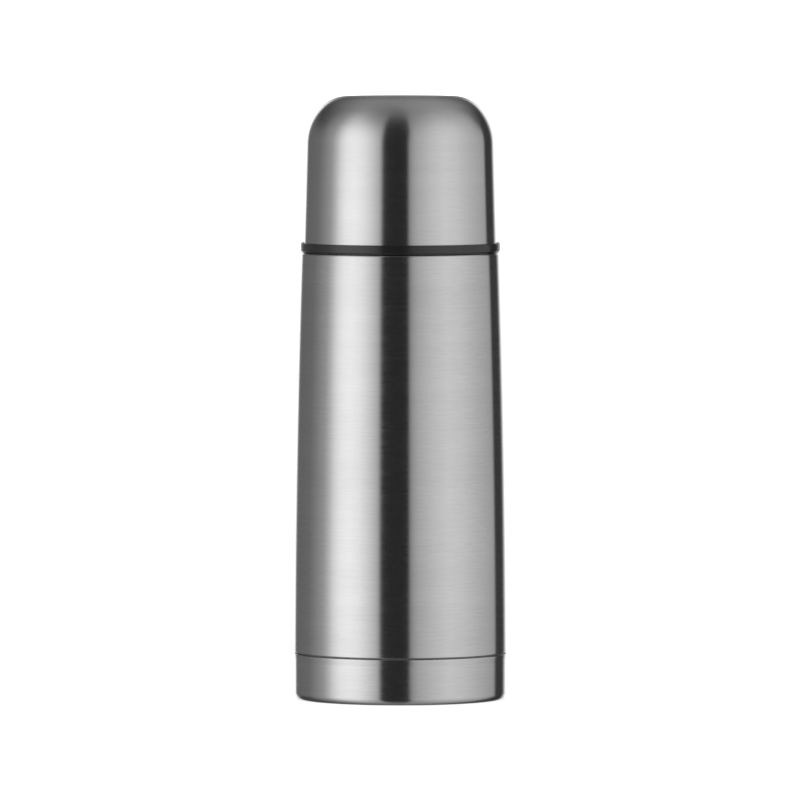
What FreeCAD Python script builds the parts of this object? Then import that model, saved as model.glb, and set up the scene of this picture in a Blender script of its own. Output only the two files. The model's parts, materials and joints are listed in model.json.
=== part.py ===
"""A small vacuum flask: a double-walled steel bottle, a push-button stopper and a screw-on cup.

Units are millimetres. +Z is up, and the origin is the centre of the circle that the flask stands on.
Every piece is a solid of its own, written to parts/NODE.step.
"""

import FreeCAD, Part
import math
import os

V = FreeCAD.Vector
AXIS_BASE, AXIS_UP = V(0, 0, 0), V(0, 0, 1)

# ---------------------------------------------------------------- driving sizes
HEIGHT = 198.0          # floor to the top of the cup
FOOT_R = 35.0           # outer shell, just above the base cap
BELLY_R = 34.25         # outer shell half-way up: its side is one long shallow arc
SHOULDER_R = 32.55      # outer shell, where the body ends under the cup
SEAM_Z = 15.4           # lower edge of the visible part of the outer shell
SHOULDER_Z = 146.8
STEEL = 0.4             # sheet thickness of every steel shell

# neck and mouth
MOUTH_Z = 167.0
NECK_R = 27.5           # outer shell's neck, which carries the cup's thread
MOUTH_R = 22.6          # bore that the stopper screws into
SEAT_R = 19.9           # the neck narrows to this below the step that the stopper's gasket lands on
SEAT_Z = 146.0

# threads: two starts each, right-handed, all with the same lead
LEAD = 10.0
STARTS = 2
THREAD_Z = 150.5        # where the formed ridges of the bottle start
RIDGE = 1.1             # height of a ridge
FORMED_HALF = 1.6       # half of a formed ridge's width at its foot
MOULDED_HALF = 1.2      # the same of a moulded ridge
MOULDED_CREST_HALF = 0.55
FORMED_SWEEP = 336.0    # degrees
MOULDED_SWEEP = 264.0
MOULDED_START = -60.0
LAG = 90.0              # a mating ridge runs half-way between two ridges of the other part
FADE = 26.0             # degrees over which a ridge rises out of its wall
SECTION_STEP = 12.0     # degrees between a ridge's sections
SINK = 0.2              # depth of a ridge's root inside the wall it grows from

# inner vessel and base
VESSEL_R = 29.8         # outside, below the shoulder
WELD_Z = 17.4           # butt weld between the vessel and its bottom
VESSEL_FLOOR_Z = 10.2   # where the vessel's domed floor would meet its wall if the corner were sharp
SKIRT_R = 34.0          # outer shell's stepped-in skirt, which the base cap covers
SKIRT_Z = 4.0
PLATE_Z = 6.6           # underside of the plate that closes the vacuum space
DIMPLE_R, DIMPLE = 5.0, 1.0
EVACUATION_HOLE_R = 1.0
GETTER_X, GETTER_R = 15.0, 4.0
BASE_R = 34.8
BASE_LIP_R = 34.95
BASE_LIP_Z = 15.0
FOOT_IN_R, RECESS = 22.5, 1.2   # the base cap stands on the ring outside this radius

# cup
LIP_R = 32.78
LIP_TOP_Z = 149.9
DOME_R, DOME_Z = 17.8, 182.1    # centre of the elliptical corner
DOME_WIDTH, DOME_HEIGHT = 13.0, HEIGHT - 182.1
SIDE_SLOPE = 0.0273     # the cup's side leans in by this much per mm of height
LINER_GAP = 0.8
LINER_WALL = 1.2
LINER_BORE_R = 29.0
TONGUE_R, TONGUE_WALL, TONGUE = 31.1, 0.5, 3.2  # upstand that centres the steel rim on the lip ring

# stopper
PLUG_R = 21.2
PLUG_BORE_R = 19.0
PLUG_FLOOR_Z = 148.8
COLLAR_R, COLLAR_IN_R = 17.2, 15.8      # seat ring's collar, which snaps into the plug's floor
COLLAR_TOP_Z = 151.0
HEAD_R = 25.2
HEAD_Z = 167.4
CAP_Z, CAP_TOP_Z = 170.0, 186.5
CAP_WALL = 2.3
WELL_R, WELL_WALL = 14.2, 1.5           # tube that the button slides in
GRIP_FLUTES = 30
BUTTON_R, BUTTON_WALL = 14.0, 1.5
BUTTON_Z, BUTTON_TOP_Z = 176.0, 188.3
GROOVE, GROOVE_Z, GROOVE_WIDTH = 0.9, 178.2, 1.2
SPRING_TOP_Z = 185.0
STEM_R = 3.0
STEM_TOP_Z = 186.0
GUIDE_R = 4.9
WEB_TOP_Z = 162.0
WEB_HEIGHT, WEB_THICKNESS, WEB_SEAT = 6.0, 1.4, 0.4    # the webs' ends sit this deep in the plug's bore
SPRING_R, SPRING_WIRE_R, SPRING_COILS = 6.1, 0.4, 8
SEAT_BORE_R = 9.0
SEAT_UNDER_Z = 143.8
VALVE_R = 11.5
VALVE_Z, VALVE_UNDER_Z = 142.2, 140.5


# ---------------------------------------------------------------- outlines
def heading(start, span, end):
    """Direction in which a span leaves its start."""
    if span is None:
        return (end - start).normalize()
    arc = Part.Arc(start, span, end)
    return arc.tangent(arc.FirstParameter)[0]


class Outline:
    """A closed outline in the XZ half-plane, where x is the radius and z the height.

    The spans between its corners are lines, arcs or ready-made edges, and any corner can be rounded.
    """

    def __init__(self, r, z, rounding=0.0):
        self.corners = [V(r, 0, z)]
        self.roundings = [rounding]
        self.spans = []

    def add(self, span, r, z, rounding=0.0):
        self.spans.append(span)
        self.corners.append(V(r, 0, z))
        self.roundings.append(rounding)
        return self

    def line(self, r, z, rounding=0.0):
        return self.add(None, r, z, rounding)

    def arc(self, r_mid, z_mid, r, z, rounding=0.0):
        return self.add(V(r_mid, 0, z_mid), r, z, rounding)

    def rounded_corner(self, i):
        """Where corner i's rounding starts, its middle and where it ends."""
        corner, radius = self.corners[i], self.roundings[i]
        if not radius:
            return corner, None, corner
        after = (i + 1) % len(self.corners)
        back = heading(corner, self.spans[i - 1], self.corners[i - 1])
        ahead = heading(corner, self.spans[i], self.corners[after])
        half = back.getAngle(ahead) / 2
        reach = radius / math.tan(half)
        to_middle = radius / math.sin(half) - radius
        middle = corner + (back + ahead).normalize() * to_middle
        return corner + back * reach, middle, corner + ahead * reach

    def turned(self):
        """The solid of revolution about the flask's axis."""
        self.spans.append(None)
        ends = [self.rounded_corner(i) for i in range(len(self.corners))]
        edges = []
        for i, (arrive, middle, leave) in enumerate(ends):
            if middle:
                edges.append(Part.Arc(arrive, middle, leave).toShape())
            span, target = self.spans[i], ends[(i + 1) % len(ends)][0]
            if isinstance(span, Part.Edge):
                edges.append(span)
            elif span:
                edges.append(Part.Arc(leave, span, target).toShape())
            elif leave.distanceToPoint(target) > 1e-7:
                edges.append(Part.makeLine(leave, target))
        face = Part.Face(Part.Wire(edges))
        return face.revolve(AXIS_BASE, AXIS_UP, 360)


def turned(*corners):
    """Solid of revolution of a polygon of (r, z) or (r, z, rounding) corners."""
    outline = Outline(*corners[0])
    for corner in corners[1:]:
        outline.line(*corner)
    return outline.turned()


def ring(r_in, r_out, z_low, z_high):
    """A plain ring."""
    return turned((r_in, z_low), (r_out, z_low), (r_out, z_high), (r_in, z_high))


# ---------------------------------------------------------------- threads
def helical_ridges(section_at, start_z, start_angle, sweep):
    """One solid ridge per start. section_at(share) is a wire in the XZ plane for a share of the height."""
    count = round(sweep / SECTION_STEP)
    ridges = []
    for start in range(STARTS):
        sections = []
        for i in range(count + 1):
            run = sweep * i / count
            share = min(1.0, run / FADE, (sweep - run) / FADE)
            section = section_at(share * share * (3 - 2 * share))
            angle = start_angle + run + 360.0 * start / STARTS
            section.translate(V(0, 0, start_z + LEAD * run / 360))
            section.rotate(AXIS_BASE, AXIS_UP, angle)
            sections.append(section)
        ridges.append(Part.makeLoft(sections, True, False))
    return ridges


def formed_section(foot_r, side, skin=0.0):
    """Section of a ridge rolled into sheet steel: an arc standing out to side 1 or -1 of its wall.

    With the sheet's thickness as skin it is the hollow behind the ridge instead.
    """
    full_radius = (FORMED_HALF**2 + RIDGE**2) / (2 * RIDGE)

    def section_at(share):
        crest = (RIDGE + SINK / 2) * share - SINK / 2
        centre = crest - full_radius
        radius = full_radius - skin
        root = -SINK - skin
        half = math.sqrt(radius**2 - (root - centre) ** 2)
        low = V(foot_r + side * root, 0, -half)
        high = V(foot_r + side * root, 0, half)
        middle = V(foot_r + side * (centre + radius), 0, 0)
        return Part.Wire([Part.Arc(low, middle, high).toShape(), Part.makeLine(high, low)])

    return section_at


def moulded_section(foot_r, side):
    """Section of a ridge moulded in plastic: a trapezoid standing out to side 1 or -1 of its wall."""
    slope = (MOULDED_HALF - MOULDED_CREST_HALF) / RIDGE
    root = foot_r - side * SINK
    root_half = MOULDED_HALF + slope * SINK

    def section_at(share):
        lift = (RIDGE + SINK / 2) * share - SINK / 2
        crest, half = foot_r + side * lift, MOULDED_HALF - slope * lift
        places = (root, -root_half), (crest, -half), (crest, half), (root, root_half), (root, -root_half)
        return Part.makePolygon([V(r, 0, z) for r, z in places])

    return section_at


def with_formed_thread(shell, foot_r, side):
    """A shell with rolled ridges, hollow behind."""
    places = THREAD_Z, 0.0, FORMED_SWEEP
    ridges = helical_ridges(formed_section(foot_r, side), *places)
    hollows = helical_ridges(formed_section(foot_r, side, STEEL), *places)
    return shell.fuse(ridges).removeSplitter().cut(hollows)


def with_moulded_thread(solid, foot_r, side):
    """A plastic part with ridges that run between those of the steel part it screws to."""
    start_z = THREAD_Z + LEAD * (LAG + MOULDED_START) / 360
    ridges = helical_ridges(moulded_section(foot_r, side), start_z, MOULDED_START, MOULDED_SWEEP)
    return solid.fuse(ridges).removeSplitter()


# ---------------------------------------------------------------- bottle
def outer_shell():
    t = STEEL
    belly_z = (SEAM_Z + SHOULDER_Z) / 2
    collar_r = MOUTH_R + 2 * t      # the neck narrows to a collar round the inner vessel's mouth
    collar_z = MOUTH_Z - 3.1
    shell = (
        Outline(SKIRT_R, SKIRT_Z)
        .line(SKIRT_R, SEAM_Z)
        .line(FOOT_R, SEAM_Z, 0.3)
        .arc(BELLY_R, belly_z, SHOULDER_R, SHOULDER_Z, 0.9)
        .line(NECK_R, SHOULDER_Z, 0.3)
        .line(NECK_R, collar_z, 1.9)
        .line(collar_r, collar_z, 0.6)
        .line(collar_r, MOUTH_Z)
        .line(collar_r - t, MOUTH_Z)
        .line(collar_r - t, collar_z - t, 0.3)
        .line(NECK_R - t, collar_z - t, 1.5)
        .line(NECK_R - t, SHOULDER_Z - t, 0.7)
        .line(SHOULDER_R - t, SHOULDER_Z - t, 0.5)
        .arc(BELLY_R - t, belly_z, FOOT_R - t, SEAM_Z + t)
        .line(SKIRT_R - t, SEAM_Z + t)
        .line(SKIRT_R - t, SKIRT_Z)
        .turned()
    )
    return with_formed_thread(shell, NECK_R, 1)


def inner_vessel():
    t, r = STEEL, VESSEL_R
    shell = turned(
        (r, WELD_Z),
        (r, 134.0, 9.0),
        (SEAT_R + t, 142.6, 2.4),
        (SEAT_R + t, SEAT_Z - t, 0.3),
        (MOUTH_R + t, SEAT_Z - t, 0.8),
        (MOUTH_R + t, MOUTH_Z),
        (MOUTH_R, MOUTH_Z),
        (MOUTH_R, SEAT_Z, 0.4),
        (SEAT_R, SEAT_Z, 0.3),
        (SEAT_R, 142.4, 2.8),
        (r - t, 133.8, 8.6),
        (r - t, WELD_Z),
    )
    return with_formed_thread(shell, MOUTH_R, -1)


def inner_vessel_bottom():
    """Domed end of the vessel with a flat centre, butt-welded to its wall."""
    t, r, z = STEEL, VESSEL_R, VESSEL_FLOOR_Z
    corner, dome, flat_r = 5.5, 1.8, 6.0
    return (
        Outline(0, z + dome)
        .line(flat_r, z + dome)
        .arc((flat_r + r) / 2, z + dome * 0.7, r, z, corner)
        .line(r, WELD_Z)
        .line(r - t, WELD_Z)
        .line(r - t, z + t, corner - t)
        .arc((flat_r + r) / 2, z + t + dome * 0.7, flat_r, z + t + dome)
        .line(0, z + t + dome)
        .turned()
    )


def reflective_foil():
    """Foil sleeve in the vacuum space, wrapped round the vessel."""
    gap, foil = 0.15, 0.15
    return ring(VESSEL_R + gap, VESSEL_R + gap + foil, WELD_Z + 4.6, 124.0)


def vacuum_base():
    """Plate that closes the vacuum space, with a turned-down rim and the evacuation hole in a dimple."""
    t, r, z = STEEL, SKIRT_R - STEEL, PLATE_Z
    return turned(
        (EVACUATION_HOLE_R, z + DIMPLE),
        (DIMPLE_R, z + DIMPLE, 0.3),
        (DIMPLE_R + 0.6, z, 0.7),
        (r - t, z, 0.8),
        (r - t, SKIRT_Z),
        (r, SKIRT_Z),
        (r, z + t, 1.2),
        (DIMPLE_R + 0.8, z + t, 0.3),
        (DIMPLE_R + 0.2, z + t + DIMPLE, 0.7),
        (EVACUATION_HOLE_R, z + t + DIMPLE),
    )


def evacuation_bead():
    """Glass bead melted into the evacuation hole."""
    z = PLATE_Z + DIMPLE
    return turned(
        (0, z - 0.9),
        (3.2, z - 0.9, 0.6),
        (3.6, z),
        (EVACUATION_HOLE_R, z),
        (EVACUATION_HOLE_R, z + STEEL),
        (0, z + STEEL),
    )


GETTER_Z = PLATE_Z + STEEL


def getter_cup():
    """Small pressed cup, spot-welded to the closing plate, that holds the getter pellet."""
    wall, depth = 0.3, 1.5
    cup = turned(
        (0, GETTER_Z),
        (GETTER_R + wall, GETTER_Z, 0.4),
        (GETTER_R + wall, GETTER_Z + depth),
        (GETTER_R, GETTER_Z + depth),
        (GETTER_R, GETTER_Z + wall),
        (0, GETTER_Z + wall),
    )
    return cup.translate(V(GETTER_X, 0, 0))


def getter_pellet():
    low, high = GETTER_Z + 0.3, GETTER_Z + 1.9
    pellet = turned((0, low), (GETTER_R, low), (GETTER_R, high, 0.3), (0, high))
    return pellet.translate(V(GETTER_X, 0, 0))


def bond_ring():
    """Ring of adhesive between the outer shell's skirt and the base cap."""
    return ring(SKIRT_R, BASE_R - STEEL, 7.0, 12.0)


def base_cap():
    t = STEEL
    flare_z, lip_z = BASE_LIP_Z - 2.2, BASE_LIP_Z - 0.6
    return turned(
        (0, RECESS),
        (FOOT_IN_R - 1.6, RECESS, 1.2),
        (FOOT_IN_R, 0, 1.2),
        (BASE_R, 0, 2.2),
        (BASE_R, flare_z, 3.0),
        (BASE_LIP_R, lip_z, 2.0),
        (BASE_LIP_R, BASE_LIP_Z, 0.19),
        (BASE_LIP_R - t, BASE_LIP_Z, 0.19),
        (BASE_LIP_R - t, lip_z, 2.0),
        (BASE_R - t, flare_z, 3.0),
        (BASE_R - t, t, 1.8),
        (FOOT_IN_R - 0.1, t, 0.8),
        (FOOT_IN_R - 1.7, RECESS + t, 1.6),
        (0, RECESS + t),
    )


# ---------------------------------------------------------------- cup
class DomeSkin:
    """One surface of the cup, at a depth below its outside: leaning side, elliptical corner, flat top."""

    def __init__(self, depth):
        self.width, self.height = DOME_WIDTH - depth, DOME_HEIGHT - depth
        lean = math.atan(SIDE_SLOPE * self.height / self.width)
        self.side_r = DOME_R + self.width * math.cos(lean)
        self.side_z = DOME_Z + self.height * math.sin(lean)
        self.top_z = DOME_Z + self.height
        centre, top = V(DOME_R, 0, DOME_Z), V(DOME_R, 0, self.top_z)
        ellipse = Part.Ellipse(top, V(DOME_R + self.width, 0, DOME_Z), centre)
        ends = ellipse.parameter(V(self.side_r, 0, self.side_z)), ellipse.parameter(top)
        low, high = min(ends), max(ends)
        if high - low > math.pi:
            low, high = high, low + 2 * math.pi
        self.corner = Part.Arc(ellipse, low, high).toShape()

    def side_at(self, z):
        return self.side_r + SIDE_SLOPE * (self.side_z - z)


def cup_shell():
    """Steel skin of the cup."""
    outside, inside = DomeSkin(0.0), DomeSkin(STEEL)
    return (
        Outline(outside.side_at(LIP_TOP_Z), LIP_TOP_Z)
        .line(outside.side_r, outside.side_z)
        .add(outside.corner, DOME_R, outside.top_z)
        .line(0, outside.top_z)
        .line(0, inside.top_z)
        .line(DOME_R, inside.top_z)
        .add(inside.corner, inside.side_r, inside.side_z)
        .line(inside.side_at(LIP_TOP_Z), LIP_TOP_Z)
        .turned()
    )


def cup_liner():
    """Plastic inside of the cup, with the female thread that holds it on the bottle's neck."""
    depth = STEEL + LINER_GAP
    outside, inside = DomeSkin(depth), DomeSkin(depth + LINER_WALL)
    bore_top_z = THREAD_Z + 12.5
    liner = (
        Outline(LINER_BORE_R, LIP_TOP_Z)
        .line(outside.side_at(LIP_TOP_Z), LIP_TOP_Z)
        .line(outside.side_r, outside.side_z)
        .add(outside.corner, DOME_R, outside.top_z)
        .line(0, outside.top_z)
        .line(0, inside.top_z)
        .line(DOME_R, inside.top_z)
        .add(inside.corner, inside.side_r, inside.side_z)
        .line(LINER_BORE_R, bore_top_z)
        .turned()
    )
    return with_moulded_thread(liner, LINER_BORE_R, -1)


def cup_lip_ring():
    """Black lip that carries the cup's steel rim and liner, and that closes on the bottle's shoulder."""
    return turned(
        (LINER_BORE_R, SHOULDER_Z, 0.3),
        (LIP_R - 0.5, SHOULDER_Z, 0.2),
        (LIP_R, SHOULDER_Z + 0.5, 0.4),
        (LIP_R, LIP_TOP_Z, 0.3),
        (TONGUE_R, LIP_TOP_Z),
        (TONGUE_R, LIP_TOP_Z + TONGUE, 0.2),
        (TONGUE_R - TONGUE_WALL, LIP_TOP_Z + TONGUE, 0.2),
        (TONGUE_R - TONGUE_WALL, LIP_TOP_Z),
        (LINER_BORE_R, LIP_TOP_Z),
    )


# ---------------------------------------------------------------- stopper
def round_axis(solid, count, first_angle=0.0):
    """Copies of a solid, evenly spaced about the axis."""
    angles = [first_angle + 360.0 * i / count for i in range(count)]
    return [solid.copy().rotate(AXIS_BASE, AXIS_UP, angle) for angle in angles]


def stem_guide():
    """Tube that the stem slides in, on four webs whose ends sit in grooves in the plug's bore."""
    tube = ring(STEM_R + 0.1, GUIDE_R, WEB_TOP_Z - 8.0, WEB_TOP_Z + 4.0)
    web_in, web_out = STEM_R + 1.0, PLUG_BORE_R + WEB_SEAT
    corner = V(web_in, -WEB_THICKNESS / 2, WEB_TOP_Z - WEB_HEIGHT)
    web = Part.makeBox(web_out - web_in, WEB_THICKNESS, WEB_HEIGHT, corner)
    return tube.fuse(round_axis(web, 4, 45.0)).removeSplitter()


def stopper_body():
    """Threaded plug, open inside for the drink."""
    plug = turned(
        (COLLAR_R, PLUG_FLOOR_Z),
        (PLUG_R, PLUG_FLOOR_Z, 0.5),
        (PLUG_R, HEAD_Z, 0.3),
        (HEAD_R, HEAD_Z, 0.5),
        (HEAD_R, CAP_Z),
        (PLUG_BORE_R, CAP_Z),
        (PLUG_BORE_R, COLLAR_TOP_Z, 0.6),
        (COLLAR_R, COLLAR_TOP_Z),
    )
    return with_moulded_thread(plug, PLUG_R, 1).cut(stem_guide())


def stopper_seat():
    """Ring snapped into the plug's floor: it holds the gasket and is the valve's seat."""
    flange_r = SEAT_R - 0.5
    return turned(
        (SEAT_BORE_R, SEAT_UNDER_Z, 0.3),
        (flange_r, SEAT_UNDER_Z, 0.8),
        (flange_r, SEAT_Z, 0.3),
        (COLLAR_R, SEAT_Z),
        (COLLAR_R, COLLAR_TOP_Z, 0.3),
        (COLLAR_IN_R, COLLAR_TOP_Z, 0.3),
        (COLLAR_IN_R, SEAT_Z),
        (SEAT_BORE_R, SEAT_Z, 0.6),
    )


def stopper_gasket():
    """Silicone ring, waisted round its edge, that seals on the step in the bottle's neck."""
    gasket_r, waist = PLUG_R - 0.1, 0.6
    middle = (SEAT_Z + PLUG_FLOOR_Z) / 2
    return turned(
        (COLLAR_R, SEAT_Z),
        (gasket_r, SEAT_Z, 0.25),
        (gasket_r, middle - 0.5, 0.25),
        (gasket_r - waist, middle, 0.3),
        (gasket_r, middle + 0.5, 0.25),
        (gasket_r, PLUG_FLOOR_Z, 0.25),
        (COLLAR_R, PLUG_FLOOR_Z),
    )


def stopper_cap():
    """Grip of the stopper: fluted outside, with the pouring slot and vent, and the button's well."""
    ceiling_z, well_z = CAP_TOP_Z - 2.0, BUTTON_Z - 1.5
    cap = turned(
        (HEAD_R - CAP_WALL, CAP_Z),
        (HEAD_R, CAP_Z),
        (HEAD_R, CAP_TOP_Z, 1.6),
        (WELL_R, CAP_TOP_Z, 0.6),
        (WELL_R, well_z, 0.3),
        (WELL_R + WELL_WALL, well_z, 0.3),
        (WELL_R + WELL_WALL, ceiling_z, 0.8),
        (HEAD_R - CAP_WALL, ceiling_z, 0.8),
    )
    flute_r, flute_depth, flute_z, flute_height = 1.3, 0.5, 177.2, 7.0
    flute = Part.makeCylinder(flute_r, flute_height, V(HEAD_R + flute_r - flute_depth, 0, flute_z))
    flutes = round_axis(flute, GRIP_FLUTES)
    spout_width, spout_height = 14.0, 3.8
    spout = Part.makeBox(spout_width, 12.0, spout_height, V(-spout_width / 2, -28.0, CAP_Z))
    vent_width, vent_height = 5.0, 3.0
    vent = Part.makeBox(vent_width, 12.0, vent_height, V(-vent_width / 2, 16.0, CAP_Z))
    return cap.cut(flutes + [spout, vent])


def push_button():
    """Domed button with a socket for the stem and a groove for its seal."""
    boss_r, boss_z = STEM_R + 2.0, BUTTON_Z + 2.0
    groove_r, groove_top_z = BUTTON_R - GROOVE, GROOVE_Z + GROOVE_WIDTH
    inside_r = groove_r - BUTTON_WALL
    return (
        Outline(STEM_R, boss_z)
        .line(boss_r, boss_z, 0.3)
        .line(boss_r, SPRING_TOP_Z)
        .line(inside_r, SPRING_TOP_Z, 0.8)
        .line(inside_r, BUTTON_Z)
        .line(BUTTON_R, BUTTON_Z, 0.2)
        .line(BUTTON_R, GROOVE_Z)
        .line(groove_r, GROOVE_Z)
        .line(groove_r, groove_top_z)
        .line(BUTTON_R, groove_top_z)
        .line(BUTTON_R, BUTTON_TOP_Z - 0.8, 1.2)
        .arc(BUTTON_R / 2, BUTTON_TOP_Z - 0.15, 2.0, BUTTON_TOP_Z)
        .line(0, BUTTON_TOP_Z)
        .line(0, STEM_TOP_Z)
        .line(STEM_R, STEM_TOP_Z)
        .turned()
    )


def button_seal():
    """O-ring in the button's groove."""
    section_r, slack = 0.5, 0.05
    centre_z = GROOVE_Z + GROOVE_WIDTH / 2
    return Part.makeTorus(BUTTON_R - GROOVE + slack + section_r, section_r, V(0, 0, centre_z))


def spring_coil(low, rise):
    """One full turn of the spring's wire, starting at the height low."""
    step = 30.0
    along = V(0, 2 * math.pi * SPRING_R, rise)
    sections = []
    for i in range(round(360 / step) + 1):
        section = Part.Wire(Part.makeCircle(SPRING_WIRE_R, V(SPRING_R, 0, 0), along))
        section.rotate(AXIS_BASE, AXIS_UP, step * i)
        section.translate(V(0, 0, low + rise * step * i / 360))
        sections.append(section)
    return Part.makeLoft(sections, True, False)


def button_spring():
    """Compression spring between the plug's webs and the button."""
    low, high = WEB_TOP_Z + SPRING_WIRE_R, SPRING_TOP_Z - SPRING_WIRE_R
    rise = (high - low) / SPRING_COILS
    coils = [spring_coil(low + rise * i, rise) for i in range(SPRING_COILS)]
    return coils[0].fuse(coils[1:])


def valve_stem():
    """Rod from the button down to the valve plate, in one moulding."""
    return turned(
        (0, VALVE_UNDER_Z),
        (VALVE_R, VALVE_UNDER_Z, 0.5),
        (VALVE_R, VALVE_Z, 0.3),
        (STEM_R, VALVE_Z),
        (STEM_R, STEM_TOP_Z, 0.5),
        (0, STEM_TOP_Z),
    )


def valve_seal():
    """Silicone washer between the valve plate and its seat."""
    return turned(
        (STEM_R, VALVE_Z),
        (VALVE_R - 0.3, VALVE_Z, 0.3),
        (VALVE_R - 0.3, SEAT_UNDER_Z, 0.4),
        (STEM_R, SEAT_UNDER_Z, 0.3),
    )


PIECES = [
    outer_shell, inner_vessel, inner_vessel_bottom, reflective_foil, vacuum_base,
    evacuation_bead, getter_cup, getter_pellet, bond_ring, base_cap,
    cup_shell, cup_liner, cup_lip_ring,
    stopper_body, stem_guide, stopper_seat, stopper_gasket, stopper_cap,
    push_button, button_seal, button_spring, valve_stem, valve_seal,
]

os.makedirs("parts", exist_ok=True)
for piece in PIECES:
    shape = piece()
    if len(shape.Solids) != 1 or not shape.isValid():
        raise ValueError(f"{piece.__name__} is not one valid solid")
    box = shape.optimalBoundingBox(False)
    print(f"{piece.__name__:20s} r {box.XMax:6.2f}   z {box.ZMin:7.2f} to {box.ZMax:7.2f}")
    shape.exportStep(f"parts/{piece.__name__}.step")
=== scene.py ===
"""Looks, studio and camera for a small brushed-steel vacuum flask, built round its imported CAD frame.

Everything is in metres in the frame's own coordinates: +Z up, the origin where the flask's axis meets the
floor. Outlines of turned pieces are in millimetres.
"""

import json
import math

import bpy
import numpy as np
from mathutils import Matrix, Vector


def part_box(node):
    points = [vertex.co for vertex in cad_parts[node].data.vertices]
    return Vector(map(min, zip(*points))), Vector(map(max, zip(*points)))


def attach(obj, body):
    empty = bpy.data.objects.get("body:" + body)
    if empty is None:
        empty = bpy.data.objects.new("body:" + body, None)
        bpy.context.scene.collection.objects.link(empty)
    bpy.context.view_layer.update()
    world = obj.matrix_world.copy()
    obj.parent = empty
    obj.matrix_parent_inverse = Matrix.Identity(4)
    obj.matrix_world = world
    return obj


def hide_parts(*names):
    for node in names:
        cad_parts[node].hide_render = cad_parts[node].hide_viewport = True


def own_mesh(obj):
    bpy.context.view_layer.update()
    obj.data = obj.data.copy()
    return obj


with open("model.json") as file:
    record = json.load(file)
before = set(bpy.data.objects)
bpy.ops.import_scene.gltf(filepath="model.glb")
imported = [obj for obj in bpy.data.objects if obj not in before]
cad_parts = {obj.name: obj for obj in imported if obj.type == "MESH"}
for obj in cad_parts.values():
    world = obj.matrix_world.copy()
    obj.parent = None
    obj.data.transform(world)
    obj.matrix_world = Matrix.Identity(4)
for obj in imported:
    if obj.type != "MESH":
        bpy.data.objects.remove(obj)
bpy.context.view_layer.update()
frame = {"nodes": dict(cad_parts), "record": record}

scene = bpy.context.scene
MM = 0.001

# ---------------------------------------------------------------- the camera
CAMERA_DISTANCE = 3.6           # from the flask's axis, along -Y
CAMERA_HEIGHT = 0.26018
CAMERA_SIDE = -0.00013
TARGET_HEIGHT = 0.09818         # height on the axis that the camera looks at
VIEW_WIDTH = 0.26283            # width of the view at the axis
SENSOR_WIDTH = 36.0
FAR_CLIP = 200.0


def make_camera():
    """A long lens that looks slightly down on the flask's front."""
    data = bpy.data.cameras.new("camera")
    camera = bpy.data.objects.new("camera", data)
    scene.collection.objects.link(camera)
    place = Vector((CAMERA_SIDE, -CAMERA_DISTANCE, CAMERA_HEIGHT))
    target = Vector((CAMERA_SIDE, 0, TARGET_HEIGHT))
    camera.location = place
    camera.rotation_euler = (target - place).to_track_quat("-Z", "Y").to_euler()
    data.sensor_width = SENSOR_WIDTH
    data.lens = SENSOR_WIDTH * (target - place).length / VIEW_WIDTH
    data.clip_end = FAR_CLIP
    scene.camera = camera


make_camera()


# ---------------------------------------------------------------- material nodes
NOISE_LOW, NOISE_HIGH = 0.3, 0.7


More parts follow.
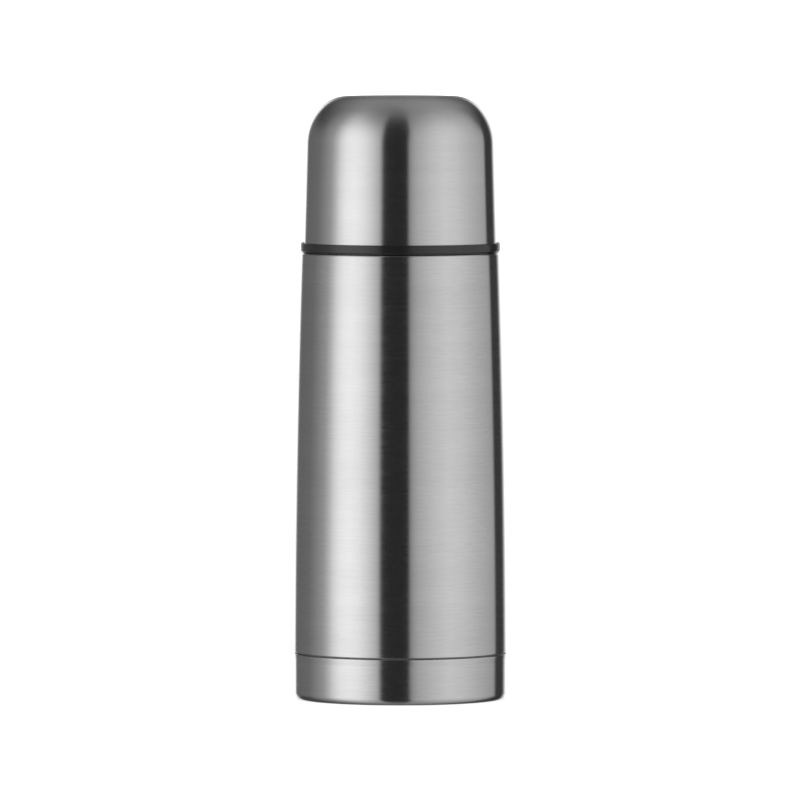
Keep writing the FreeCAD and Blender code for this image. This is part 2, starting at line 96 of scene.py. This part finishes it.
class Graph:
    """A node tree with a short way to add nodes. Inputs are given as values or as other nodes' outputs."""

    def __init__(self, tree):
        self.tree = tree
        tree.nodes.clear()

    def add(self, kind, inputs=None, **settings):
        node = self.tree.nodes.new(kind)
        for name, value in settings.items():
            setattr(node, name, value)
        for name, value in (inputs or {}).items():
            socket = node.inputs[name]
            if isinstance(value, bpy.types.NodeSocket):
                self.tree.links.new(value, socket)
            else:
                socket.default_value = value
        return node

    def math(self, operation, a, b=0.0):
        return self.add("ShaderNodeMath", {0: a, 1: b}, operation=operation).outputs[0]

    def plus(self, a, b):
        return self.math("ADD", a, b)

    def times(self, a, b):
        return self.math("MULTIPLY", a, b)

    def blend(self, start, end, share):
        """start where share is 0 and end where it is 1."""
        return self.plus(start, self.times(self.math("SUBTRACT", end, start), share))

    def fit(self, value, low, high, to_low=0.0, to_high=1.0, smooth=False):
        """Maps low..high to to_low..to_high, clamped."""
        node = self.add(
            "ShaderNodeMapRange",
            {"Value": value, "From Min": low, "From Max": high, "To Min": to_low, "To Max": to_high},
            interpolation_type="SMOOTHSTEP" if smooth else "LINEAR",
        )
        return node.outputs["Result"]

    def spread(self, noise, to_low, to_high):
        """Maps the range that a noise mostly keeps within to to_low..to_high."""
        return self.fit(noise, NOISE_LOW, NOISE_HIGH, to_low, to_high)

    def noise(self, vector, scale, detail=3.0, roughness=0.55):
        inputs = {"Vector": vector, "Scale": scale, "Detail": detail, "Roughness": roughness}
        return self.add("ShaderNodeTexNoise", inputs).outputs["Fac"]

    def streaks(self, x, y, height, round_scale, height_scale, detail=2.0, roughness=0.55):
        """Noise drawn out along circles round the axis. The scales are in streaks per metre."""
        across, along = self.times(x, round_scale), self.times(y, round_scale)
        vector = self.join(across, along, self.times(height, height_scale))
        return self.noise(vector, 1.0, detail, roughness)

    def place(self):
        """Position on the object, in metres."""
        return self.add("ShaderNodeTexCoord").outputs["Object"]

    def split(self, vector):
        return self.add("ShaderNodeSeparateXYZ", {"Vector": vector}).outputs

    def join(self, x, y, z):
        return self.add("ShaderNodeCombineXYZ", {"X": x, "Y": y, "Z": z}).outputs["Vector"]

    def length(self, x, y):
        return self.math("SQRT", self.plus(self.times(x, x), self.times(y, y)))

    def tint(self, colour, value):
        """A colour multiplied by a value."""
        grey = self.join(value, value, value)
        return self.add("ShaderNodeVectorMath", {0: colour, 1: grey}, operation="MULTIPLY").outputs["Vector"]

    def bump(self, height, distance):
        inputs = {"Height": height, "Distance": distance, "Strength": 1.0}
        return self.add("ShaderNodeBump", inputs).outputs["Normal"]

    def surface(self, **inputs):
        """The material's shader. An input's name has _ for each space."""
        shader = self.add("ShaderNodeBsdfPrincipled", {k.replace("_", " "): v for k, v in inputs.items()})
        output = self.add("ShaderNodeOutputMaterial")
        self.tree.links.new(shader.outputs["BSDF"], output.inputs["Surface"])


def new_material(name):
    material = bpy.data.materials.new(name)
    material.use_nodes = True
    return material, Graph(material.node_tree)


# ---------------------------------------------------------------- materials
STEEL_COLOUR = (0.60, 0.60, 0.603)
BRUSHED_ROUGHNESS = 0.205
BRUSHED_ANISOTROPY = 0.95
RAW_ROUGHNESS = 0.62
# painted shade: share of its colour that the raw steel below the seam keeps, for the shade in the seam's gap
RAW_PAINTED_SHADE = 0.6
ACROSS_BRUSHING = 0.25          # quarter turn from the tangent that runs round the axis
BUMP_DEPTH = 2.0e-6


def brushed_steel(
    name, lean, colour=STEEL_COLOUR, roughness=BRUSHED_ROUGHNESS, anisotropy=BRUSHED_ANISOTROPY,
    coarse=1.0, raw_shaded_below=-1.0,
):
    """Steel brushed round its axis: long fine scratches that run along circles, with faint stains and wear.

    lean is -1 where the sheet leans inwards as it rises, and 1 where it leans inwards as it falls.
    coarse is how strongly the scratches show.
    Below the height that the last argument gives, the steel is unbrushed and dull, as it came off the weld,
    and its colour is darkened there as painted shade for the seam's gap.
    """
    material, g = new_material(name)
    x, y, z = g.split(g.place())
    height = g.plus(z, g.times(g.length(x, y), lean))
    scratches = g.streaks(x, y, height, 140, 1700, 4.0, 0.62)
    hairs = g.streaks(x, y, height, 340, 5200)
    bands = g.streaks(x, y, height, 9, 170)
    stains = g.noise(g.place(), 26.0)
    grain = g.blend(hairs, scratches, 0.65)
    brushed = g.fit(z, raw_shaded_below, raw_shaded_below + 3.0e-5)
    shade_swing, rough_swing = 0.08 * coarse, 0.05 * coarse
    shade = g.times(g.spread(grain, 1 - shade_swing, 1 + shade_swing), g.spread(bands, 0.98, 1.02))
    shade = g.times(shade, g.fit(stains, 0.35, 0.7, 1.01, 0.975))
    # painted shade: below the seam the raw steel's colour is darkened, for the shade that falls in the seam's
    # gap
    shade = g.times(shade, g.blend(RAW_PAINTED_SHADE, 1.0, brushed))
    rough = g.spread(grain, roughness - rough_swing, roughness + rough_swing)
    rough = g.plus(rough, g.fit(stains, 0.4, 0.75, 0.0, 0.035))
    g.surface(
        Base_Color=g.tint(colour, shade),
        Metallic=1.0,
        Roughness=g.blend(RAW_ROUGHNESS, rough, brushed),
        Anisotropic=g.times(brushed, anisotropy),
        Anisotropic_Rotation=ACROSS_BRUSHING,
        Tangent=g.add("ShaderNodeTangent", direction_type="RADIAL", axis="Z").outputs["Tangent"],
        Normal=g.bump(grain, BUMP_DEPTH * coarse),
    )
    return material


def moulded_plastic(name, colour, roughness, level=0.5):
    """Satin moulded plastic with the fine spark-eroded texture of its mould and a few rubbed patches."""
    material, g = new_material(name)
    texture = g.noise(g.place(), 3600.0, 2.0, 0.6)
    flow = g.noise(g.place(), 55.0)
    rough = g.fit(flow, 0.35, 0.7, roughness - 0.04, roughness + 0.05)
    g.surface(
        Base_Color=g.tint(colour, g.spread(flow, 0.86, 1.14)),
        Roughness=g.plus(rough, g.spread(texture, -0.03, 0.03)),
        Specular_IOR_Level=level,
        Normal=g.bump(texture, 6.0e-6),
    )
    return material


def silicone(name, colour):
    """Matt, slightly translucent rubber with a little dust."""
    material, g = new_material(name)
    dust = g.noise(g.place(), 900.0)
    cloud = g.noise(g.place(), 120.0)
    g.surface(
        Base_Color=g.tint(colour, g.spread(cloud, 0.93, 1.04)),
        Roughness=g.spread(dust, 0.38, 0.6),
        Subsurface_Weight=0.25,
        Subsurface_Radius=(0.0016, 0.0014, 0.0012),
        Normal=g.bump(dust, 4.0e-6),
    )
    return material


def plain_metal(name, colour, roughness, scale, depth):
    """Unbrushed metal, with an even fine texture."""
    material, g = new_material(name)
    texture = g.noise(g.place(), scale, 4.0)
    g.surface(
        Base_Color=g.tint(colour, g.spread(texture, 0.92, 1.06)),
        Metallic=1.0,
        Roughness=g.spread(texture, roughness - 0.06, roughness + 0.08),
        Normal=g.bump(texture, depth),
    )
    return material


def glass_bead(name):
    """Greenish sealing glass that has melted into its hole."""
    material, g = new_material(name)
    texture = g.noise(g.place(), 700.0, 2.0)
    g.surface(
        Base_Color=g.tint((0.3, 0.42, 0.34), g.spread(texture, 0.8, 1.1)),
        Roughness=g.spread(texture, 0.05, 0.15),
        Transmission_Weight=0.6,
        Normal=g.bump(texture, 1.0e-5),
    )
    return material


# ---------------------------------------------------------------- sizes, in millimetres
def extent(node):
    """Outside radius, lowest and highest point of a CAD node."""
    low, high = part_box(node)
    return [round(value / MM, 2) for value in (high[0], low[2], high[2])]


FOOT_R, SKIRT_Z, MOUTH_Z = extent("outer_shell")
BASE_LIP_R, FLOOR_Z, BASE_LIP_Z = extent("base_cap")
RIM_Z, TOP_Z = extent("cup_shell")[1:]
RING_R, SHOULDER_Z, TONGUE_Z = extent("cup_lip_ring")
SHEET = 0.4                     # thickness of the steel

# The body: a side that is one shallow arc, from the seam past the belly to the shoulder.
SEAM_GAP = 0.4
SEAM_Z = BASE_LIP_Z + SEAM_GAP
BELLY_R = 34.25
SHOULDER_R = 32.55
SKIRT_R = 34.0                  # of the band inside the base cap
NECK_R = 27.5
MOUTH_R = 22.6

# The thread rolled into the neck: ridges of a circle's section that fade out at their ends.
STARTS = 2
LEAD = 10.0
THREAD_Z = 150.5                # height at which each ridge starts
THREAD_SWEEP = 336.0            # degrees that each ridge runs round the neck
FADE = 26.0                     # degrees over which its ends rise and fall
RIDGE = 1.1
RIDGE_HALF = 1.6                # half its height along the axis
SINK = 0.2                      # twice the depth below the wall's face at which its ends start
NECK_THREAD = 148.6, 161.8      # heights between which the neck carries its thread

# The base cap
BASE_R = 34.8
FOOT_IN_R = 22.5                # inside of the ring it stands on
RECESS = 1.2

# The cup: an elliptic corner between a flat top and a side that widens a little downwards.
DOME_R = 17.8                   # from the axis to the ellipse's centre
DOME_WIDTH = 13.0
DOME_HEIGHT = 15.9
DOME_Z = TOP_Z - DOME_HEIGHT
SIDE_SLOPE = 0.0273
DOME_TOP_RADII = 13.0, 8.0, 3.5, 0.0    # of the rings of points on the flat top

# The lip ring
RING_IN_R = 29.0
TONGUE_R = 31.1
TONGUE_WALL = 0.5

# ---------------------------------------------------------------- the looks of the CAD nodes
# below this height the raw steel is painted darker, as shade in the seam's gap
seam_painted_shade_top = (SEAM_Z + 0.02) * MM
looks = {
    "brushed_steel": brushed_steel("steel_brushed", -1.0, raw_shaded_below=seam_painted_shade_top),
    "inner_steel": brushed_steel("steel_drawn_inner", 1.0, (0.63, 0.63, 0.635), 0.30, 0.5),
    "spring_steel": plain_metal("steel_spring_wire", (0.5, 0.5, 0.51), 0.28, 1500.0, 2.0e-6),
    "black_plastic": moulded_plastic("plastic_black_satin", (0.009, 0.009, 0.0095), 0.22, 0.6),
    "grey_plastic": moulded_plastic("plastic_grey_satin", (0.10, 0.10, 0.105), 0.38),
    "white_silicone": silicone("silicone_white", (0.62, 0.62, 0.59)),
    "foil": plain_metal("foil_aluminium", (0.8, 0.8, 0.81), 0.2, 220.0, 8.0e-5),
    "glass_bead": glass_bead("glass_bead_fused"),
    "getter": plain_metal("getter_sintered", (0.2, 0.2, 0.205), 0.7, 2600.0, 4.0e-5),
    "adhesive": silicone("adhesive_cured", (0.6, 0.57, 0.5)),
}
base_look = brushed_steel("steel_brushed_base", 1.0)
cup_look = brushed_steel("steel_brushed_cup", -1.0, coarse=0.6)

for part in frame["record"]["subparts"]:
    for material_slot in frame["nodes"][part["node"]].material_slots:
        material_slot.material = looks[part["material_slot"]]


# ---------------------------------------------------------------- turned pieces
SEGMENTS = 256
SHARP_EDGE = math.radians(40)


def rounded(corners, steps=8):
    """Points (r, z) of a closed outline, given as (r, z) or (r, z, rounding radius) corners."""
    places = [np.array(corner[:2], float) for corner in corners]
    points = []
    for i, corner in enumerate(corners):
        here, radius = places[i], corner[2] if len(corner) > 2 else 0.0
        if not radius:
            points.append(here)
            continue
        back = places[i - 1] - here
        ahead = places[(i + 1) % len(places)] - here
        back, ahead = back / np.linalg.norm(back), ahead / np.linalg.norm(ahead)
        half = math.acos(float(np.clip(back @ ahead, -1, 1))) / 2
        centre = here + (back + ahead) / np.linalg.norm(back + ahead) * radius / math.sin(half)
        start = here + back * radius / math.tan(half) - centre
        end = here + ahead * radius / math.tan(half) - centre
        turn = math.pi - 2 * half
        for k in range(steps + 1):
            a = turn * k / steps
            points.append(centre + (start * math.sin(turn - a) + end * math.sin(a)) / math.sin(turn))
    return points


def no_offset(r, z, angles):
    """The offset of a piece that is round everywhere."""
    return np.zeros_like(angles)


def turned_mesh(name, outline, offset):
    """Mesh of a closed outline turned round Z. offset(r, z, angles) moves its points outwards."""
    angles = np.arange(SEGMENTS) * 2 * math.pi / SEGMENTS
    verts, rings = [], []
    for r, z in outline:
        if r < 1e-6:
            rings.append([len(verts)] * SEGMENTS)
            verts.append((0.0, 0.0, z * MM))
            continue
        radii = (r + offset(r, z, angles)) * MM
        rings.append([len(verts) + s for s in range(SEGMENTS)])
        verts += zip(radii * np.cos(angles), radii * np.sin(angles), np.full(SEGMENTS, z * MM))
    faces = []
    for ring, following in zip(rings, rings[1:] + rings[:1]):
        for s in range(SEGMENTS):
            t = (s + 1) % SEGMENTS
            corners = tuple(dict.fromkeys((ring[s], ring[t], following[t], following[s])))
            if len(corners) > 2:
                faces.append(corners)
    mesh = bpy.data.meshes.new(name)
    mesh.from_pydata(verts, [], faces)
    mesh.update()
    mesh.shade_smooth()
    mesh.set_sharp_from_angle(angle=SHARP_EDGE)
    return mesh


def stand_in(node, body, outline, slot, look=None, offset=no_offset):
    """A turned piece with a finer surface, which takes a CAD node's place on its body."""
    name = node + "_skin"
    mesh = turned_mesh(name, outline, offset)
    mesh.materials.append(look or looks[slot])
    piece = bpy.data.objects.new(name, mesh)
    scene.collection.objects.link(piece)
    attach(piece, body)
    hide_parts(node)


# ---------------------------------------------------------------- the body's shell
def side_points(inset, z_low, z_high, count=60):
    """The shell's side from the bottom up, as points on its long shallow arc."""
    middle = (SEAM_Z + SHOULDER_Z) / 2
    rise = (SHOULDER_R - FOOT_R) / 2
    bulge = BELLY_R - (SHOULDER_R + FOOT_R) / 2
    points = []
    for z in np.linspace(z_low, z_high, count):
        u = (z - middle) / (SHOULDER_Z - middle)
        points.append((BELLY_R + rise * u - bulge * u * u - inset, z))
    return points


def thread_rise(z, angles, skin=0.0):
    """How far the rolled thread stands out of its wall. skin is the wall's thickness for its inside, or 0."""
    full = (RIDGE_HALF**2 + RIDGE**2) / (2 * RIDGE)
    rise = np.zeros_like(angles)
    for start in range(STARTS):
        run = (np.degrees(angles) - 360.0 * start / STARTS) % 360.0
        share = np.clip(np.minimum(run, THREAD_SWEEP - run) / FADE, 0, 1)
        crest = (RIDGE + SINK / 2) * share * share * (3 - 2 * share) - SINK / 2
        drop = z - (THREAD_Z + LEAD * run / 360.0)
        height = crest - full + np.sqrt(np.maximum((full - skin) ** 2 - drop**2, 0.0)) + skin
        rise = np.maximum(rise, np.where(run < THREAD_SWEEP, height, 0.0))
    return rise


def neck_offset(r, z, angles):
    """The offset of the shell, which has its thread on the neck's outside and inside."""
    low, high = NECK_THREAD
    if not low <= z <= high or r < NECK_R - 1.0:
        return np.zeros_like(angles)
    return thread_rise(z, angles, SHEET if r < NECK_R - SHEET / 2 else 0.0)


def neck_points(r):
    """Closely spaced points up the neck, where the thread is."""
    return [(r, z) for z in np.linspace(*NECK_THREAD, 89)]


def outer_shell_outline():
    """The shell's outside from the skirt to the mouth, and its inside back down."""
    t = SHEET
    collar_r, collar_z = MOUTH_R + 2 * t, MOUTH_Z - 3.1
    side_ends = SEAM_Z + 0.9, SHOULDER_Z - 1.5
    corners = [(SKIRT_R, SKIRT_Z), (SKIRT_R, SEAM_Z), (FOOT_R, SEAM_Z, 0.3)]
    corners += side_points(0.0, *side_ends)
    corners += [(SHOULDER_R, SHOULDER_Z, 0.9), (NECK_R, SHOULDER_Z, 0.3)]
    corners += neck_points(NECK_R)
    corners += [(NECK_R, collar_z, 1.9), (collar_r, collar_z, 0.6), (collar_r, MOUTH_Z)]
    corners += [(collar_r - t, MOUTH_Z), (collar_r - t, collar_z - t, 0.3), (NECK_R - t, collar_z - t, 1.5)]
    corners += neck_points(NECK_R - t)[::-1]
    corners += [(NECK_R - t, SHOULDER_Z - t, 0.7), (SHOULDER_R - t, SHOULDER_Z - t, 0.5)]
    corners += side_points(t, *side_ends)[::-1]
    corners += [(FOOT_R - t, SEAM_Z + t), (SKIRT_R - t, SEAM_Z + t), (SKIRT_R - t, SKIRT_Z)]
    return rounded(corners)


# ---------------------------------------------------------------- base cap, cup and lip ring
def base_cap_outline():
    """A shallow recess inside the standing ring, a rounded edge, and a lip that flares to meet the shell."""
    t = SHEET
    flare_z, lip_z = BASE_LIP_Z - 2.2, BASE_LIP_Z - 0.6
    return rounded([
        (0, RECESS),
        (FOOT_IN_R - 1.6, RECESS, 1.2),
        (FOOT_IN_R, FLOOR_Z, 1.2),
        (BASE_R, FLOOR_Z, 2.2),
        (BASE_R, flare_z, 3.0),
        (BASE_LIP_R, lip_z, 2.0),
        (BASE_LIP_R, BASE_LIP_Z, 0.32),
        (BASE_LIP_R - t, BASE_LIP_Z, 0.05),
        (BASE_LIP_R - t, lip_z, 2.0),
        (BASE_R - t, flare_z, 3.0),
        (BASE_R - t, t, 1.8),
        (FOOT_IN_R - 0.1, t, 0.8),
        (FOOT_IN_R - 1.7, RECESS + t, 1.6),
        (0, RECESS + t),
    ])


def dome_points(depth, count=40):
    """The cup from its rim to the centre of its top, at a depth below its outside."""
    width, height = DOME_WIDTH - depth, DOME_HEIGHT - depth
    lean = math.atan(SIDE_SLOPE * height / width)
    side_r, side_z = DOME_R + width * math.cos(lean), DOME_Z + height * math.sin(lean)
    points = [(side_r + SIDE_SLOPE * (side_z - z), z) for z in np.linspace(RIM_Z, side_z, 12)[:-1]]
    for a in np.linspace(lean, math.pi / 2, count):
        points.append((DOME_R + width * math.cos(a), DOME_Z + height * math.sin(a)))
    return points + [(r, DOME_Z + height) for r in DOME_TOP_RADII]


def lip_ring_outline():
    """A square ledge under the cup's rim, with a small chamfer below and an upstand that centres the cup."""
    return rounded([
        (RING_IN_R, SHOULDER_Z, 0.3),
        (RING_R - 0.5, SHOULDER_Z, 0.2),
        (RING_R, SHOULDER_Z + 0.5, 0.4),
        (RING_R, RIM_Z, 0.3),
        (TONGUE_R, RIM_Z),
        (TONGUE_R, TONGUE_Z, 0.2),
        (TONGUE_R - TONGUE_WALL, TONGUE_Z, 0.2),
        (TONGUE_R - TONGUE_WALL, RIM_Z),
        (RING_IN_R, RIM_Z),
    ])


stand_in("outer_shell", "flask_body", outer_shell_outline(), "brushed_steel", offset=neck_offset)
stand_in("base_cap", "flask_body", base_cap_outline(), "brushed_steel", look=base_look)
stand_in("cup_shell", "cup", dome_points(0.0) + dome_points(SHEET)[::-1], "brushed_steel", look=cup_look)
stand_in("cup_lip_ring", "cup_ring", lip_ring_outline(), "black_plastic")


# ---------------------------------------------------------------- the button's spring
def make_spring():
    """The spring's wire again, as a piece of its own that stays with the stopper."""
    mesh = frame["nodes"]["button_spring"].data.copy()
    mesh.materials.clear()
    mesh.materials.append(looks["spring_steel"])
    piece = bpy.data.objects.new("button_spring_wire", mesh)
    scene.collection.objects.link(piece)
    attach(piece, "stopper")
    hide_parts("button_spring")
    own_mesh(piece)


make_spring()

# ---------------------------------------------------------------- the studio
# What stands round the flask for its steel to mirror, anticlockwise from behind: (degrees from the front,
# brightness). The front is -Y.
NEAR_HORIZON = [
    (-180, 0.22), (-175, 0.30), (-170, 1.40), (-163, 1.25),             # white paper behind
    (-157, 0.20), (-150, 0.165), (-119, 0.225), (-107, 0.315),          # grey card on the far left
    (-93, 0.48), (-85, 0.78), (-78, 1.16), (-69, 1.42), (-58, 1.49),    # left softbox, up to its middle
    (-46, 1.35), (-36, 1.07), (-24.5, 0.66),                            # and on to its near edge
    (-20.8, 0.032), (8.5, 0.028),                                       # black card in front
    (10.8, 0.44), (20, 0.64), (38, 0.86), (55, 0.985),                  # right softbox, up to its middle
    (72, 0.91), (95, 0.71), (124, 0.53),                                # and on to its far edge
    (127, 0.055), (149, 0.055),                                         # black card on the far right
    (156, 0.60), (163, 1.25), (170, 1.40), (175, 0.30), (180, 0.22),    # white paper behind
]
# The same away from the horizon, where there is no paper behind.
AWAY_FROM_HORIZON = [
    (-180, 0.10), (-150, 0.06),                                         # dark studio behind
    (-137, 0.07), (-119, 0.14), (-107, 0.30),                           # grey card on the far left
    (-93, 0.43), (-85, 0.72), (-78, 1.08), (-69, 1.36), (-58, 1.46),    # left softbox, up to its middle
    (-46, 1.32), (-36, 1.04), (-24.5, 0.63),                            # and on to its near edge
    (-20.8, 0.032), (11, 0.028),                                        # black card in front
    (13.8, 0.45), (20, 0.62), (38, 0.83), (55, 0.965),                  # right softbox, up to its middle
    (72, 0.90), (95, 0.68), (108, 0.57), (118, 0.40),                   # and on to its far edge
    (127, 0.06), (149, 0.03), (180, 0.10),                              # black card and dark studio
]
HORIZON_BAND = 10, 21           # degrees from the horizon over which the first list gives way to the second
EVEN_LIGHT = 0.315              # brightness of the ceiling and of the ground
EVEN_SIDE = 0.042               # how much brighter they are to the right
EVEN_BACK = 0.033               # and to the back
SOFTBOX_TOP = 3, 62             # degrees up over which the softboxes fade into the ceiling
SOFTBOX_BOTTOM = 8, -90         # degrees up over which they fade into the ground
SOFTBOX_SLANT = -0.18           # degrees that the upper fade moves down, for each degree round from the front
SOFTBOX_TWIST = 9.0             # twice the degrees that it moves down at the back right and the front left
CARD_TOP = 41, 84               # the same for the dark cards
CARD_BOTTOM = -30, -110
CARD_SLANT = 0.17
CARD_TILT = 5.0                 # degrees that the cards' upper fade moves down on the right
SURROUND_RADIUS = 4.0
SURROUND_COLOUR = (1.0, 0.997, 0.999, 1.0)
FLOOR_SIZE = 60.0               # from the middle to each side
FLOOR_LEVEL = -0.00005          # keeps the floor's face clear of the flask's standing ring
FLOOR_GLOW = 0.5
WORLD_LIGHT = 1.05
WHITE = (1.0, 1.0, 1.0, 1.0)


def only_seen_by(obj, *rays):
    """Hides an object from every kind of ray but these."""
    for ray in ("camera", "diffuse", "glossy", "transmission", "volume_scatter", "shadow"):
        setattr(obj, "visible_" + ray, ray in rays)


def add_stage(name, mesh, material, *rays):
    """An object of the studio, seen only by these kinds of ray."""
    mesh.materials.append(material)
    piece = bpy.data.objects.new(name, mesh)
    scene.collection.objects.link(piece)
    only_seen_by(piece, *rays)


def make_floor():
    """A pale floor that glows a little, so that it stays plain."""
    mesh = bpy.data.meshes.new("floor")
    signs = [(-1, -1), (1, -1), (1, 1), (-1, 1)]
    corners = [(FLOOR_SIZE * x, FLOOR_SIZE * y, FLOOR_LEVEL) for x, y in signs]
    mesh.from_pydata(corners, [], [(0, 1, 2, 3)])
    material, g = new_material("floor_pale")
    grain = g.noise(g.place(), 400.0, 2.0)
    g.surface(
        Base_Color=g.tint((0.88, 0.88, 0.88), g.spread(grain, 0.995, 1.005)),
        Roughness=0.8,
        Emission_Color=WHITE,
        Emission_Strength=FLOOR_GLOW,
    )
    add_stage("floor", mesh, material, "camera", "diffuse", "transmission")


def brightness_round(g, azimuth, levels):
    """Brightness at an azimuth in degrees, from a list of (degrees, brightness)."""
    ramp = g.add("ShaderNodeValToRGB", {"Fac": g.fit(azimuth, -180, 180)})
    stops = ramp.color_ramp.elements
    while len(stops) < len(levels):
        stops.new(0.5)
    for stop, (degrees, light) in zip(stops, levels):
        stop.position = (degrees + 180) / 360
        stop.color = (light, light, light, 1)
    return g.split(ramp.outputs["Color"])[0]


def surround_light(g, x, y, z):
    """Brightness in a direction: softboxes and cards, which fade into an even ceiling and an even floor."""
    flat = g.length(x, y)
    azimuth = g.times(g.math("ARCTAN2", x, g.times(y, -1.0)), 180 / math.pi)
    height = g.times(g.math("ARCTAN2", z, flat), 180 / math.pi)
    across, back = g.math("DIVIDE", x, flat), g.math("DIVIDE", y, flat)
    turn = g.math("ABSOLUTE", azimuth)
    near = brightness_round(g, azimuth, NEAR_HORIZON)
    away = brightness_round(g, azimuth, AWAY_FROM_HORIZON)
    level = g.blend(near, away, g.fit(g.math("ABSOLUTE", height), *HORIZON_BAND, smooth=True))
    even = g.plus(EVEN_LIGHT, g.plus(g.times(across, EVEN_SIDE), g.times(back, EVEN_BACK)))
    box_lift = g.plus(g.times(turn, SOFTBOX_SLANT), g.times(g.times(across, back), SOFTBOX_TWIST))
    box_share = g.times(
        g.fit(g.plus(height, box_lift), *SOFTBOX_TOP, 1, 0, smooth=True),
        g.fit(height, *SOFTBOX_BOTTOM, 1, 0, smooth=True),
    )
    card_lift = g.plus(g.times(turn, CARD_SLANT), g.times(across, CARD_TILT))
    card_share = g.times(
        g.fit(g.plus(height, card_lift), *CARD_TOP, 1, 0, smooth=True),
        g.fit(height, *CARD_BOTTOM, 1, 0, smooth=True),
    )
    share = g.blend(card_share, box_share, g.math("GREATER_THAN", level, even))
    return g.blend(even, level, share)


def make_surround():
    """A ball that only mirror reflections see. It stands for the studio round the flask."""
    rings, around = 24, 48
    centre = Vector((0, 0, TOP_Z * MM / 2))
    verts, faces = [], []
    for i in range(rings + 1):
        polar = math.pi * i / rings
        for k in range(around):
            a = 2 * math.pi * k / around
            flat, up = math.sin(polar), math.cos(polar)
            direction = Vector((flat * math.cos(a), flat * math.sin(a), up))
            verts.append(direction * SURROUND_RADIUS + centre)
    for i in range(rings):
        for k in range(around):
            n = (k + 1) % around
            faces.append((i * around + k, i * around + n, (i + 1) * around + n, (i + 1) * around + k))
    mesh = bpy.data.meshes.new("surround")
    mesh.from_pydata(verts, [], faces)
    material, g = new_material("surround_light")
    x, y, z = g.split(g.place())
    light = surround_light(g, x, y, g.plus(z, -centre.z))
    emission = g.add("ShaderNodeEmission", {"Color": SURROUND_COLOUR, "Strength": light})
    output = g.add("ShaderNodeOutputMaterial")
    g.tree.links.new(emission.outputs[0], output.inputs["Surface"])
    material.cycles.emission_sampling = "NONE"
    add_stage("surround", mesh, material, "glossy")


def make_world():
    """Even white light from everywhere, which is also the pale background."""
    world = bpy.data.worlds.new("studio")
    world.use_nodes = True
    g = Graph(world.node_tree)
    background = g.add("ShaderNodeBackground", {"Color": WHITE, "Strength": WORLD_LIGHT})
    output = g.add("ShaderNodeOutputWorld")
    g.tree.links.new(background.outputs[0], output.inputs["Surface"])
    scene.world = world


make_floor()
make_surround()
make_world()
scene.view_settings.view_transform = "Standard"
scene.view_settings.look = "None"
